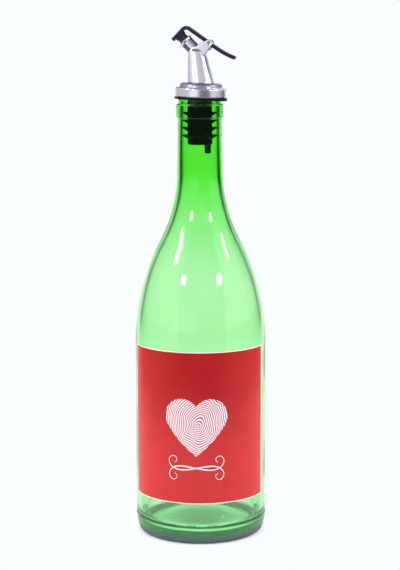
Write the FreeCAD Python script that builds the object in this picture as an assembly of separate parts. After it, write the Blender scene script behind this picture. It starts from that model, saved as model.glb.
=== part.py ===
import FreeCAD, Part

import math
import os

from FreeCAD import Placement, Rotation, Vector

# Oil dispenser bottle: a round green glass bottle with a cork-type mouth, closed by a
# push-in pourer. The pourer is a ribbed rubber stopper, a metal cap with a hollow spout,
# and a lever that lifts a small seal off the spout's tip.
# Millimetres. Z is up, the base stands on z = 0, the label faces -Y.

# ---- glass bottle --------------------------------------------------------------------
BODY_RADIUS = 40.0
BODY_HEIGHT = 117.5         # height where the straight side ends
SHOULDER_RISE = 106.5       # from the straight side to the neck
SHOULDER_SHARE = 0.59       # share of that rise that bulges outward, the rest is hollow
NECK_RADIUS = 13.8          # where the neck begins
NECK_TOP_RADIUS = 13.15     # under the collar
NECK_LENGTH = 31.2
COLLAR_RADIUS = 14.2
COLLAR_HEIGHT = 8.2
COLLAR_TOP_ROUND = 0.9
COLLAR_FOOT_ROUND = 0.5
LIP_RADIUS = 13.0
LIP_HEIGHT = 2.9
LIP_ROUND = 0.7
BORE_RADIUS = 10.1          # inside of the mouth
WALL = 2.8                  # glass of the side, shoulder and neck
HEEL_START = 9.5            # height where the side begins to turn in
HEEL_ARC = 20.0
FOOT_ARC = 3.0              # small round between the heel and the standing ring
FOOT_WIDTH = 2.0            # flat standing ring
PUNT_DEPTH = 9.0            # hollow under the base
BASE_THICKNESS = 3.2        # glass over the top of the punt
INNER_HEEL = 8.0            # round between the inner side and the floor

# ---- label -----------------------------------------------------------------------------
LABEL_THICKNESS = 0.15
LABEL_FOOT = 25.6           # height of the lower edge
LABEL_OVERRUN = 1.1         # how far its upper edge reaches past the shoulder's start
LABEL_LEFT = 75.0           # degrees round to the left of the front
LABEL_RIGHT = 67.0          # degrees round to the right of the front

# ---- seat of the pourer in the mouth -----------------------------------------------------
SEAT_TILT = 2.0             # degrees that the pourer leans towards its handle
SEAT_TURN = 10.0            # degrees that its handle is turned towards the front
SEAT_SHIFT = 0.6            # how far it sits off the bottle's axis
GASKET_LEAST = 0.55         # rubber left between lip and cap on the tight side

# ---- rubber stopper ----------------------------------------------------------------------
GASKET_RADIUS = 15.85
GASKET_THICKNESS = 1.45
GASKET_DROOP = 1.0          # degrees that its underside leans more than the cap
LIP_CLEARANCE = 0.15        # beside the glass lip
SHANK_RADIUS = 7.4
SHANK_DEPTH = 27.3          # below the mouth
SHANK_ROUND = 0.8
FIN_COUNT = 4
FIN_PITCH = 4.6
FIRST_FIN = 21.7            # depth of the lowest fin's edge below the mouth
FIN_EDGE = 0.6              # thickness at the fin's edge
FIN_SLOPE = 1.0             # how much higher the fin's edge stands than its root
FIN_ROOT = 2.2              # thickness at the shank
FIN_CLEARANCE = 0.05        # to the glass
CHANNEL_RADIUS = 3.0        # pouring channel through the stopper
CHANNEL_OFFSET = -2.6

# ---- air tube ----------------------------------------------------------------------------
TUBE_RADIUS = 1.9
TUBE_BORE = 1.0
TUBE_OFFSET = 4.65
TUBE_DEPTH = 32.8           # below the mouth
TUBE_ROUND = 0.8
TUBE_INSET = 1.0            # below the top of the stopper

# ---- metal cap ---------------------------------------------------------------------------
CAP_RADIUS = 15.75
CAP_HEIGHT = 5.6
CAP_TOP_ROUND = 0.8
CAP_FOOT_ROUND = 0.5
STEP_FOOT_RADIUS = 13.1
STEP_TOP_RADIUS = 12.5
STEP_HEIGHT = 2.9
STEP_ROUND = 1.9
SPIGOT_RADIUS = 6.6         # tube of the spout that passes through the cap
SPIGOT_INSET = 0.6          # above the cap's underside

# ---- spout casting -----------------------------------------------------------------------
COLUMN_FOOT_RADIUS = 8.15
COLUMN_TOP_RADIUS = 5.45
COLUMN_RISE = 18.4          # above the cap's step
COLUMN_LEAN = -3.2          # shift of its top towards the spout
COLUMN_DOME = 2.5           # height of the rounded top
COLUMN_BORE_FOOT = 5.6
COLUMN_BORE_TOP = 3.4
SPOUT_RADIUS = 4.15
SPOUT_LENGTH = 10.0         # from the column's top to the lip
SPOUT_ANGLE = 42.0          # degrees above level
SPOUT_BORE = 2.6
SPOUT_BEAD = 0.35           # how far the lip stands proud
SPOUT_BEAD_LENGTH = 0.9
EAR_RADIUS = 2.3
EAR_THICKNESS = 1.3
EAR_VALLEY = (-1.8, 2.5)    # start of the ears' upper edge, from the column's top
EAR_CROTCH = (5.0, -2.2)    # end of the ears' lower edge, from the column's top
SLOT_FLOOR = 3.0            # from the hinge to the floor of the lever's slot
SLOT_ANGLE = 40.0           # direction of the slot above level

# ---- hinge -------------------------------------------------------------------------------
HINGE_REACH = 7.7           # from the column's top towards the handle
HINGE_RISE = 5.4            # above the column's top
PIN_RADIUS = 0.85
PIN_CLEARANCE = 0.06        # running fit in the lever
PIN_INSET = 0.35            # below the ears' outer faces

# ---- lever and seal ----------------------------------------------------------------------
LEVER_WIDTH = 5.2
LEVER_THICKNESS = 2.2
LEVER_ROUND = 0.6
LEVER_SIDE_CLEARANCE = 0.3  # to each ear
LEVER_SLOPE = 33.0          # degrees that the long arm falls towards the handle
LEVER_HUB = 2.0
LEVER_BEND = 3.0            # radius of the bend above the spout
LEVER_NECK = 4.6            # straight from the hinge to the handle's curve
HANDLE_ARC = 52.0
HANDLE_LENGTH = 12.5
PLATE_TAIL = 5.0            # plate below the spout's axis
SEAL_RADIUS = 3.0
SEAL_FLANGE_RADIUS = 3.45
SEAL_FLANGE = 1.3
SEAL_HEIGHT = 4.2           # between the plate and the spout's lip
SEAL_GAP = 0.1
SEAL_ROUND = 0.25

# ---- sizes that follow ---------------------------------------------------------------------
NECK_START = BODY_HEIGHT + SHOULDER_RISE
COLLAR_FOOT = NECK_START + NECK_LENGTH
COLLAR_TOP = COLLAR_FOOT + COLLAR_HEIGHT
MOUTH = COLLAR_TOP + LIP_HEIGHT
SEAT_HEIGHT = MOUTH + GASKET_LEAST + LIP_RADIUS * math.tan(math.radians(SEAT_TILT))
STEP_TOP = CAP_HEIGHT + STEP_HEIGHT
COLUMN_TOP = STEP_TOP + COLUMN_RISE
LEVER_SLOT = LEVER_WIDTH + 2.0 * LEVER_SIDE_CLEARANCE
EARS_WIDTH = LEVER_SLOT + 2.0 * EAR_THICKNESS
BIG = 200.0                 # size of a cutting block
TOUCH = 1e-4                # two places closer than this are the same

UP = Vector(0.0, 0.0, 1.0)
ACROSS = Vector(0.0, 1.0, 0.0)


def point(x, z):
    """Point in the XZ plane."""
    return Vector(x, 0.0, z)


def towards(angle):
    """Unit vector in the XZ plane, at degrees above +X."""
    return point(math.cos(math.radians(angle)), math.sin(math.radians(angle)))


def line(start, end):
    return Part.LineSegment(start, end).toShape()


def arc(centre, radius, first, last):
    """Arc in the XZ plane about centre, between two angles in degrees."""
    middle = 0.5 * (first + last)
    ends = [centre + towards(angle) * radius for angle in (first, middle, last)]
    return Part.Arc(*ends).toShape()


def face(edges):
    return Part.Face(Part.Wire(Part.__sortEdges__(edges)))


def polygon(points):
    return [line(a, b) for a, b in zip(points, points[1:] + points[:1])]


def turned(edges):
    """Solid of a half section turned about the Z axis."""
    return face(edges).revolve(Vector(), UP, 360.0)


def prism(edges, width):
    """Solid of an outline in the XZ plane, width wide and centred on it."""
    outline = face(edges)
    outline.translate(ACROSS * (-0.5 * width))
    return outline.extrude(ACROSS * width)


def cylinder(radius, base, direction, length):
    return Part.makeCylinder(radius, length, base, direction)


def round_rims(solid, rims, radius):
    """Round the circular edges that lie at the given (radius, height) pairs."""
    chosen = []
    for edge in solid.Edges:
        for rim_radius, height in rims:
            if is_rim(edge, rim_radius, height):
                chosen.append(edge)
    return solid.makeFillet(radius, chosen)


def is_rim(edge, radius, height):
    if edge.Degenerated or not isinstance(edge.Curve, Part.Circle):
        return False
    curve = edge.Curve
    level = abs(curve.Center.z - height) < TOUCH
    return level and abs(curve.Radius - radius) < TOUCH and abs(curve.Axis.z) > 1.0 - TOUCH


def tangent_point(start, centre, radius, side):
    """Where the line from start touches a circle, on its left (1) or right (-1)."""
    span = centre - start
    reach = math.degrees(math.atan2(span.z, span.x))
    lean = math.degrees(math.asin(radius / span.Length))
    return centre + towards(reach + side * (90.0 + lean)) * radius


def seat(shape):
    """Place a shape of the pourer, drawn about its own axis, on the bottle."""
    placed = shape.copy()
    placed.Placement = seat_placement().multiply(placed.Placement)
    return placed


def seat_placement():
    lean = Rotation(ACROSS, SEAT_TILT)
    turn = Rotation(UP, -SEAT_TURN)
    return Placement(point(SEAT_SHIFT, SEAT_HEIGHT), lean.multiply(turn))


# ---- bottle --------------------------------------------------------------------------------
def shoulder_arcs(inset):
    """The shoulder's two arcs, an outward and a hollow one that share a tangent.

    For a rise H and a drop D in radius, both arcs turn by 2 atan(D / H), and their radii
    add up to H divided by the sine of that turn. inset moves them into the glass.
    """
    drop = BODY_RADIUS - NECK_RADIUS
    turn = 2.0 * math.atan2(drop, SHOULDER_RISE)
    both = SHOULDER_RISE / math.sin(turn)
    bulge = SHOULDER_SHARE * both
    hollow = both - bulge
    turn = math.degrees(turn)
    low = arc(point(BODY_RADIUS - bulge, BODY_HEIGHT), bulge - inset, 0.0, turn)
    high = arc(point(NECK_RADIUS + hollow, NECK_START), hollow + inset, 180.0 + turn, 180.0)
    return [low, high]


def outer_foot():
    """Punt, standing ring, foot round and heel, from the axis outwards."""
    heel_centre = point(BODY_RADIUS - HEEL_ARC, HEEL_START)
    fall = HEEL_START - FOOT_ARC
    reach = math.sqrt((HEEL_ARC - FOOT_ARC) ** 2 - fall ** 2)
    foot_centre = point(heel_centre.x + reach, FOOT_ARC)
    turn = -math.degrees(math.atan2(fall, reach))
    ring_outer = foot_centre.x
    ring_inner = ring_outer - FOOT_WIDTH
    dome = (ring_inner ** 2 + PUNT_DEPTH ** 2) / (2.0 * PUNT_DEPTH)
    spread = math.degrees(math.asin(ring_inner / dome))
    punt = arc(point(0.0, PUNT_DEPTH - dome), dome, 90.0, 90.0 - spread)
    return [
        punt,
        line(point(ring_inner, 0.0), point(ring_outer, 0.0)),
        arc(foot_centre, FOOT_ARC, -90.0, turn),
        arc(heel_centre, HEEL_ARC, turn, 0.0),
    ], dome


def inner_floor(dome):
    """Domed floor over the punt and the round that joins it to the inner side."""
    dome_centre = point(0.0, PUNT_DEPTH - dome)
    floor_radius = dome + BASE_THICKNESS
    heel_x = BODY_RADIUS - WALL - INNER_HEEL
    reach = floor_radius + INNER_HEEL
    heel_centre = point(heel_x, dome_centre.z + math.sqrt(reach ** 2 - heel_x ** 2))
    spread = math.degrees(math.asin(heel_x / reach))
    floor = arc(dome_centre, floor_radius, 90.0, 90.0 - spread)
    heel = arc(heel_centre, INNER_HEEL, -90.0 - spread, 0.0)
    return [floor, heel], heel_centre.z


def make_bottle():
    foot, dome = outer_foot()
    floor, side_foot = inner_floor(dome)
    inner_side = BODY_RADIUS - WALL
    outside = foot + shoulder_arcs(0.0) + [
        line(point(BODY_RADIUS, HEEL_START), point(BODY_RADIUS, BODY_HEIGHT)),
        line(point(NECK_RADIUS, NECK_START), point(NECK_TOP_RADIUS, COLLAR_FOOT)),
        line(point(NECK_TOP_RADIUS, COLLAR_FOOT), point(COLLAR_RADIUS, COLLAR_FOOT)),
        line(point(COLLAR_RADIUS, COLLAR_FOOT), point(COLLAR_RADIUS, COLLAR_TOP)),
        line(point(COLLAR_RADIUS, COLLAR_TOP), point(LIP_RADIUS, COLLAR_TOP)),
        line(point(LIP_RADIUS, COLLAR_TOP), point(LIP_RADIUS, MOUTH)),
        line(point(LIP_RADIUS, MOUTH), point(BORE_RADIUS, MOUTH)),
    ]
    inside = floor + shoulder_arcs(WALL) + [
        line(point(inner_side, side_foot), point(inner_side, BODY_HEIGHT)),
        line(point(NECK_RADIUS - WALL, NECK_START), point(BORE_RADIUS, MOUTH)),
    ]
    axis = line(point(0.0, PUNT_DEPTH), point(0.0, PUNT_DEPTH + BASE_THICKNESS))
    bottle = turned(outside + inside + [axis])
    bottle = round_rims(bottle, [(COLLAR_RADIUS, COLLAR_TOP)], COLLAR_TOP_ROUND)
    bottle = round_rims(bottle, [(COLLAR_RADIUS, COLLAR_FOOT)], COLLAR_FOOT_ROUND)
    return round_rims(bottle, [(LIP_RADIUS, MOUTH), (BORE_RADIUS, MOUTH)], LIP_ROUND)


def bore_radius(height):
    """Inner radius of the neck at a height above the neck's start."""
    share = (height - NECK_START) / (MOUTH - NECK_START)
    low = NECK_RADIUS - WALL
    return low + share * (BORE_RADIUS - low)


def make_label():
    """Paper wrapped round the side, open at the back."""
    outer = BODY_RADIUS + LABEL_THICKNESS
    top = BODY_HEIGHT + LABEL_OVERRUN
    section = polygon([
        point(BODY_RADIUS, LABEL_FOOT), point(outer, LABEL_FOOT),
        point(outer, top), point(BODY_RADIUS, top),
    ])
    label = face(section)
    label.rotate(Vector(), UP, -90.0 - LABEL_LEFT)
    return label.revolve(Vector(), UP, LABEL_LEFT + LABEL_RIGHT)


# ---- stopper -------------------------------------------------------------------------------
def shank_outline():
    """Half section of the shank with its fins, from the bottom up."""
    bottom = MOUTH - SHANK_DEPTH
    outline = [point(0.0, bottom), point(SHANK_RADIUS, bottom)]
    for number in range(FIN_COUNT):
        edge = MOUTH - FIRST_FIN + number * FIN_PITCH
        root = edge - FIN_SLOPE
        reach = bore_radius(edge) - FIN_CLEARANCE
        outline += [
            point(SHANK_RADIUS, root - 0.5 * FIN_ROOT), point(reach, edge - 0.5 * FIN_EDGE),
            point(reach, edge + 0.5 * FIN_EDGE), point(SHANK_RADIUS, root + 0.5 * FIN_ROOT),
        ]
    top = SEAT_HEIGHT + GASKET_RADIUS
    return outline + [point(SHANK_RADIUS, top), point(0.0, top)]


def make_gasket():
    """Flange under the cap, pressed over the glass lip on its tight side."""
    flange = seat(cylinder(GASKET_RADIUS, point(0.0, -BIG), UP, BIG))
    block = Part.makeBox(BIG, BIG, BIG, Vector(-0.5 * BIG, -0.5 * BIG, -BIG))
    block.rotate(Vector(), ACROSS, SEAT_TILT + GASKET_DROOP)
    block.translate(point(SEAT_SHIFT, SEAT_HEIGHT - GASKET_THICKNESS))
    lip = cylinder(LIP_RADIUS + LIP_CLEARANCE, point(0.0, MOUTH - BIG), UP, BIG)
    return flange.cut(block).cut(lip)


def above_stopper():
    """Block that holds everything above the cap's underside."""
    return seat(Part.makeBox(BIG, BIG, BIG, Vector(-0.5 * BIG, -0.5 * BIG, 0.0)))


def make_stopper():
    bottom = point(0.0, MOUTH - SHANK_DEPTH)
    shank = turned(polygon(shank_outline()))
    shank = round_rims(shank, [(SHANK_RADIUS, bottom.z)], SHANK_ROUND)
    stopper = shank.cut(above_stopper()).fuse(make_gasket())
    channel = cylinder(CHANNEL_RADIUS, bottom + point(CHANNEL_OFFSET, -BIG), UP, 2.0 * BIG)
    air_hole = cylinder(TUBE_RADIUS, bottom + point(TUBE_OFFSET, -BIG), UP, 2.0 * BIG)
    return stopper.cut(channel).cut(air_hole).removeSplitter()


def make_air_tube():
    bottom = MOUTH - TUBE_DEPTH
    lean = TUBE_OFFSET * math.tan(math.radians(SEAT_TILT))
    length = SEAT_HEIGHT - lean - TUBE_INSET - bottom
    tube = cylinder(TUBE_RADIUS, Vector(0.0, 0.0, bottom), UP, length)
    tube = round_rims(tube, [(TUBE_RADIUS, bottom)], TUBE_ROUND)
    tube = tube.cut(cylinder(TUBE_BORE, Vector(0.0, 0.0, bottom - BIG), UP, 2.0 * BIG))
    tube.translate(point(TUBE_OFFSET, 0.0))
    return tube


# ---- cap and spout, drawn about the pourer's own axis, z = 0 under the cap -------------------
def make_cap():
    cap = turned(polygon([
        point(SPIGOT_RADIUS, 0.0), point(CAP_RADIUS, 0.0), point(CAP_RADIUS, CAP_HEIGHT),
        point(STEP_FOOT_RADIUS, CAP_HEIGHT), point(STEP_TOP_RADIUS, STEP_TOP),
        point(SPIGOT_RADIUS, STEP_TOP),
    ]))
    cap = round_rims(cap, [(CAP_RADIUS, CAP_HEIGHT)], CAP_TOP_ROUND)
    cap = round_rims(cap, [(CAP_RADIUS, 0.0)], CAP_FOOT_ROUND)
    return round_rims(cap, [(STEP_TOP_RADIUS, STEP_TOP)], STEP_ROUND)


def column_top():
    return point(COLUMN_LEAN, COLUMN_TOP)


def hinge():
    return column_top() + point(HINGE_REACH, HINGE_RISE)


def spout_direction():
    return towards(180.0 - SPOUT_ANGLE)


def spout_lip():
    return column_top() + spout_direction() * SPOUT_LENGTH


def leaning_cone(foot_radius, top_radius, foot, top):
    """Cone whose top is shifted sideways, between two level circles."""
    rims = [Part.Circle(foot, UP, foot_radius), Part.Circle(top, UP, top_radius)]
    return Part.makeLoft([Part.Wire(rim.toShape()) for rim in rims], True, True)


def column_dome():
    """Rounded top of the column, half an ellipse turned about the column's end."""
    curve = Part.Ellipse(Vector(), COLUMN_TOP_RADIUS, COLUMN_DOME)
    quarter = Part.Arc(curve, 0.0, 0.5 * math.pi).toShape()
    quarter.rotate(Vector(), Vector(1.0, 0.0, 0.0), 90.0)
    sides = [
        quarter,
        line(point(0.0, COLUMN_DOME), Vector()),
        line(Vector(), point(COLUMN_TOP_RADIUS, 0.0)),
    ]
    dome = turned(sides)
    dome.translate(column_top())
    return dome


def make_ears():
    """Block that carries the hinge, with straight sides tangent to its round end."""
    valley = column_top() + point(*EAR_VALLEY)
    crotch = column_top() + point(*EAR_CROTCH)
    upper = tangent_point(valley, hinge(), EAR_RADIUS, 1)
    lower = tangent_point(crotch, hinge(), EAR_RADIUS, -1)
    tip = hinge() + point(EAR_RADIUS, 0.0)
    outline = [
        line(valley, upper),
        Part.Arc(upper, tip, lower).toShape(),
        line(lower, crotch),
        line(crotch, column_top() + point(0.0, EAR_CROTCH[1])),
        line(column_top() + point(0.0, EAR_CROTCH[1]), valley),
    ]
    return prism(outline, EARS_WIDTH)


def lever_slot():
    """Block between the ears, from the slot's floor outwards."""
    slot = Part.makeBox(BIG, LEVER_SLOT, BIG, Vector(-SLOT_FLOOR, -0.5 * LEVER_SLOT, -0.5 * BIG))
    slot.rotate(Vector(), ACROSS, -SLOT_ANGLE)
    slot.translate(hinge())
    return slot


def make_spout():
    """Column, spout and ears in one hollow casting, with the tube that fixes it."""
    foot = point(0.0, STEP_TOP)
    along = spout_direction()
    column = leaning_cone(COLUMN_FOOT_RADIUS, COLUMN_TOP_RADIUS, foot, column_top())
    spigot = cylinder(SPIGOT_RADIUS, point(0.0, SPIGOT_INSET), UP, STEP_TOP - SPIGOT_INSET)
    arm = cylinder(SPOUT_RADIUS, column_top(), along, SPOUT_LENGTH)
    bead_foot = spout_lip() - along * SPOUT_BEAD_LENGTH
    bead = cylinder(SPOUT_RADIUS + SPOUT_BEAD, bead_foot, along, SPOUT_BEAD_LENGTH)
    ears = make_ears().cut(lever_slot())
    body = column.multiFuse([spigot, column_dome(), arm, bead, ears])
    bores = [
        leaning_cone(COLUMN_BORE_FOOT, COLUMN_BORE_TOP, foot, column_top()),
        cylinder(COLUMN_BORE_FOOT, Vector(), UP, STEP_TOP),
        cylinder(SPOUT_BORE, column_top(), along, 2.0 * SPOUT_LENGTH),
        cylinder(PIN_RADIUS, hinge() - ACROSS * EARS_WIDTH, ACROSS, 2.0 * EARS_WIDTH),
    ]
    for bore in bores:
        body = body.cut(bore)
    return body


def make_pin():
    length = EARS_WIDTH - 2.0 * PIN_INSET
    return cylinder(PIN_RADIUS, hinge() - ACROSS * (0.5 * length), ACROSS, length)


# ---- lever and seal --------------------------------------------------------------------------
def lever_corner():
    """Where the centre lines of the plate and the long arm cross, and their directions.

    The long arm runs through the hinge; the plate lies flat on the seal, across the spout.
    """
    fall = towards(-LEVER_SLOPE)
    down_plate = towards(-90.0 - SPOUT_ANGLE)
    over_lip = SEAL_GAP + SEAL_HEIGHT + 0.5 * LEVER_THICKNESS
    centre = spout_lip() + spout_direction() * over_lip
    back = hinge() - centre
    climb = cross(fall, back) / cross(down_plate, fall)
    return centre, centre - down_plate * climb, fall, down_plate


def cross(first, second):
    return first.x * second.z - first.z * second.x


def lever_side(offset):
    """The lever's line at a distance above its centre line, from the plate's end on."""
    centre, corner, fall, down_plate = lever_corner()
    lift = towards(90.0 - LEVER_SLOPE) * offset
    plate_lift = towards(180.0 - SPOUT_ANGLE) * offset
    bend = math.radians(180.0 - SPOUT_ANGLE - 90.0 + LEVER_SLOPE)
    setback = LEVER_BEND * math.tan(0.5 * bend)
    bend_centre = corner + fall * setback - towards(90.0 - LEVER_SLOPE) * LEVER_BEND
    bend_line = arc(bend_centre, LEVER_BEND + offset, 180.0 - SPOUT_ANGLE, 90.0 - LEVER_SLOPE)
    handle_start = hinge() + fall * LEVER_NECK
    handle_centre = handle_start + towards(90.0 - LEVER_SLOPE) * HANDLE_ARC
    first = -90.0 - LEVER_SLOPE
    handle = arc(handle_centre, HANDLE_ARC - offset, first, first + handle_sweep())
    plate_end = centre + down_plate * PLATE_TAIL + plate_lift
    plate_top = corner + down_plate * setback + plate_lift
    return [
        line(plate_end, plate_top), bend_line,
        line(corner + fall * setback + lift, handle_start + lift), handle,
    ]


def handle_sweep():
    return math.degrees(HANDLE_LENGTH / HANDLE_ARC)


def lever_outline():
    """Both sides of the lever, its square plate end and its round handle end."""
    upper = lever_side(0.5 * LEVER_THICKNESS)
    lower = lever_side(-0.5 * LEVER_THICKNESS)
    plate_end = line(upper[0].Vertexes[0].Point, lower[0].Vertexes[0].Point)
    tips = [side[-1].Vertexes[-1].Point for side in (upper, lower)]
    slope = handle_sweep() - LEVER_SLOPE
    end = (tips[0] + tips[1]) * 0.5
    handle_end = arc(end, 0.5 * LEVER_THICKNESS, slope + 90.0, slope - 90.0)
    return upper + lower + [plate_end, handle_end]


def make_lever():
    """Bar with rounded edges, a hub on the hinge and the pin's hole through it."""
    bar = prism(lever_outline(), LEVER_WIDTH)
    rims = [edge for edge in bar.Edges if abs(edge.tangentAt(edge.FirstParameter).y) < TOUCH]
    bar = bar.makeFillet(LEVER_ROUND, rims)
    side = ACROSS * (0.5 * LEVER_WIDTH)
    hub = cylinder(LEVER_HUB, hinge() - side, ACROSS, LEVER_WIDTH)
    hole = cylinder(PIN_RADIUS + PIN_CLEARANCE, hinge() - side * 2.0, ACROSS, 2.0 * LEVER_WIDTH)
    return bar.fuse(hub).cut(hole)


def make_seal():
    """Soft plug under the plate, which shuts the spout's lip."""
    seal = turned(polygon([
        point(0.0, 0.0), point(SEAL_RADIUS, 0.0), point(SEAL_RADIUS, SEAL_HEIGHT - SEAL_FLANGE),
        point(SEAL_FLANGE_RADIUS, SEAL_HEIGHT - SEAL_FLANGE),
        point(SEAL_FLANGE_RADIUS, SEAL_HEIGHT), point(0.0, SEAL_HEIGHT),
    ]))
    seal = round_rims(seal, [(SEAL_RADIUS, 0.0)], SEAL_ROUND)
    seal.rotate(Vector(), ACROSS, SPOUT_ANGLE - 90.0)
    seal.translate(spout_lip() + spout_direction() * SEAL_GAP)
    return seal


def report(name, shape):
    volume = round(shape.Volume / 1000.0, 3)
    print(name, "solids", len(shape.Solids), "valid", shape.isValid(), "cm3", volume)


def build():
    nodes = {
        "bottle": make_bottle(),
        "label": make_label(),
        "stopper": make_stopper(),
        "air_tube": make_air_tube(),
        "cap": seat(make_cap()),
        "spout": seat(make_spout()),
        "hinge_pin": seat(make_pin()),
        "lever": seat(make_lever()),
        "seal": seat(make_seal()),
    }
    os.makedirs("parts", exist_ok=True)
    for name, shape in nodes.items():
        solid = shape if shape.ShapeType == "Solid" else shape.Solids[0]
        solid.exportStep(os.path.join("parts", name + ".step"))
        report(name, shape)
    pivot = seat_placement().multVec(hinge())
    axis = seat_placement().Rotation.multVec(ACROSS)
    print("hinge at", [round(value, 4) for value in pivot], "axis", [round(value, 6) for value in axis])


build()
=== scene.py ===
# %% [markdown]
# # A green glass oil bottle with a push-in pourer
# The bottle is clear green glass with a red paper label. A ribbed rubber stopper sits in
# its mouth and carries a metal cap, a cast spout and a small black lever that lifts a seal
# off the spout. This lesson dresses the measured model in real materials: some of its
# parts keep their mesh and get a finish, and others are made anew as smooth surfaces.

# %% Load the frame
import math

import bmesh
import bpy
import numpy as np
from mathutils import Matrix, Vector


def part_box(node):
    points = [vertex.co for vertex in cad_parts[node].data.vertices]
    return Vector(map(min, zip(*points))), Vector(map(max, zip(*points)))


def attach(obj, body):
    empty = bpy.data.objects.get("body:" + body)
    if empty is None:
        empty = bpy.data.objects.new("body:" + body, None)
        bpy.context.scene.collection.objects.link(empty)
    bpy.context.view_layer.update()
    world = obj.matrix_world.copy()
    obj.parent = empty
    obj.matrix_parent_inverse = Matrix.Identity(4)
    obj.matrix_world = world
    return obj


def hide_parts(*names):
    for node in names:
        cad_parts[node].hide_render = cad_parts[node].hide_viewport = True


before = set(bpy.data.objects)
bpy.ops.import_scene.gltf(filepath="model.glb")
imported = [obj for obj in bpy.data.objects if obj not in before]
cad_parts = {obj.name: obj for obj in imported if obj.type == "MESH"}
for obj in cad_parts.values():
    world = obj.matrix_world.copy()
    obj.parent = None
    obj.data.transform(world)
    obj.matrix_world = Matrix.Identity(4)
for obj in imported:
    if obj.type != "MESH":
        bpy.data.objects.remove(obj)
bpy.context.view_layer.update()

print("parts:", ", ".join(sorted(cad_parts)))

# %% [markdown]
# Sizes are easiest to read in millimetres, and Blender works in metres, so every length of
# the bottle is written as a number of millimetres times MM. They are the sizes of the
# measured model, which comes as finished meshes, so they are named once more here.

# %% Sizes of the bottle
MM = 0.001
BODY_RADIUS = 40.0 * MM
BODY_HEIGHT = 117.5 * MM
SHOULDER_RISE = 106.5 * MM
SHOULDER_SHARE = 0.59
NECK_RADIUS = 13.8 * MM
NECK_TOP_RADIUS = 13.15 * MM
NECK_LENGTH = 31.2 * MM
COLLAR_RADIUS = 14.2 * MM
COLLAR_HEIGHT = 8.2 * MM
LIP_RADIUS = 13.0 * MM
LIP_HEIGHT = 2.9 * MM
BORE_RADIUS = 10.1 * MM
WALL = 2.8 * MM
HEEL_START = 9.5 * MM
HEEL_ARC = 20.0 * MM
FOOT_ARC = 3.0 * MM
FOOT_WIDTH = 2.0 * MM
PUNT_DEPTH = 9.0 * MM
BASE_THICKNESS = 3.2 * MM
INNER_HEEL = 8.0 * MM
NECK_START = BODY_HEIGHT + SHOULDER_RISE
COLLAR_FOOT = NECK_START + NECK_LENGTH
COLLAR_TOP = COLLAR_FOOT + COLLAR_HEIGHT
MOUTH = COLLAR_TOP + LIP_HEIGHT

print("mouth at", round(MOUTH / MM, 2), "mm, bottle box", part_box("bottle")[1] / MM)

# %% [markdown]
# Every new piece here is a surface on a grid: two numbers run along its rows and columns,
# and a formula gives the point. numpy works out all points at once, and one pattern of
# corner numbers joins neighbours to faces. Columns run round the piece and rows run along
# it, in the order that makes the faces point outwards. Points nearer than MERGE metres are
# one point, and an edge that turns by more than SHARP stays an edge in smooth shading.

# %% Meshes from grids
TURN = 2.0 * math.pi
MERGE = 1e-7
SHARP = math.radians(45.0)


def grid_faces(rows, columns, closed):
    """Corners of each face: point (r, c) with its neighbours c + 1 and r + 1.

    Where the columns are closed, the last one is joined to the first.
    """
    r = np.arange(rows - 1)[:, None]
    c = np.arange(columns if closed else columns - 1)[None, :]
    after = (c + 1) % columns
    here, beyond = r * columns, (r + 1) * columns
    corners = (here + c, here + after, beyond + after, beyond + c)
    return np.stack(np.broadcast_arrays(*corners), axis=-1).reshape(-1, 4)


def linked(name, data):
    """A new object for a mesh, a light or a camera, linked into the scene."""
    made = bpy.data.objects.new(name, data)
    bpy.context.scene.collection.objects.link(made)
    return made


def new_piece(name, points, faces):
    """A mesh object at the origin. Points that fall together, as at a pole, are merged."""
    mesh = bpy.data.meshes.new(name)
    mesh.from_pydata(points.tolist(), [], faces.tolist())
    work = bmesh.new()
    work.from_mesh(mesh)
    bmesh.ops.remove_doubles(work, verts=work.verts, dist=MERGE)
    bmesh.ops.dissolve_degenerate(work, edges=work.edges, dist=MERGE)
    work.to_mesh(mesh)
    work.free()
    mesh.shade_smooth()
    mesh.set_sharp_from_angle(angle=SHARP)
    return linked(name, mesh)


def turned(name, profile, columns, shape=None, place=None):
    """Surface of revolution: (r, z) of the profile becomes (r cos a, r sin a, z).

    shape, if given, changes r and z by the angle a before the turn, and place moves the
    points after it.
    """
    angle = TURN * np.arange(columns) / columns
    radius = np.repeat(profile[:, :1], columns, axis=1)
    height = np.repeat(profile[:, 1:], columns, axis=1)
    if shape:
        radius, height = shape(radius, height, angle[None, :])
    points = np.stack([radius * np.cos(angle), radius * np.sin(angle), height], axis=-1)
    points = points.reshape(-1, 3)
    if place:
        points = place(points)
    return new_piece(name, points, grid_faces(len(profile), columns, True))


def triangles(piece):
    """How many triangles a piece's mesh makes."""
    piece.data.calc_loop_triangles()
    return len(piece.data.loop_triangles)


# %% [markdown]
# The bottle's outline is made of straight lines and arcs that share tangents, as a mould
# maker draws it: the hollow punt under the base, the standing ring, the heel, the side,
# the long S of the shoulder, the neck, the collar and the lip, and then the same way down
# inside. It could be a Bezier curve, but arcs keep the exact radii of the model.

# %% Lines and arcs
def straight(start, end, count):
    """Evenly spaced points from start to end, without the last."""
    share = np.arange(count)[:, None] / count
    return np.array(start) * (1.0 - share) + np.array(end) * share


def bent(centre, radius, first, last, count):
    """Points centre + radius (cos t, sin t), with t from first to last, without the last."""
    t = np.radians(first + (last - first) * np.arange(count) / count)
    return np.array(centre) + radius * np.stack([np.cos(t), np.sin(t)], axis=-1)


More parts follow.
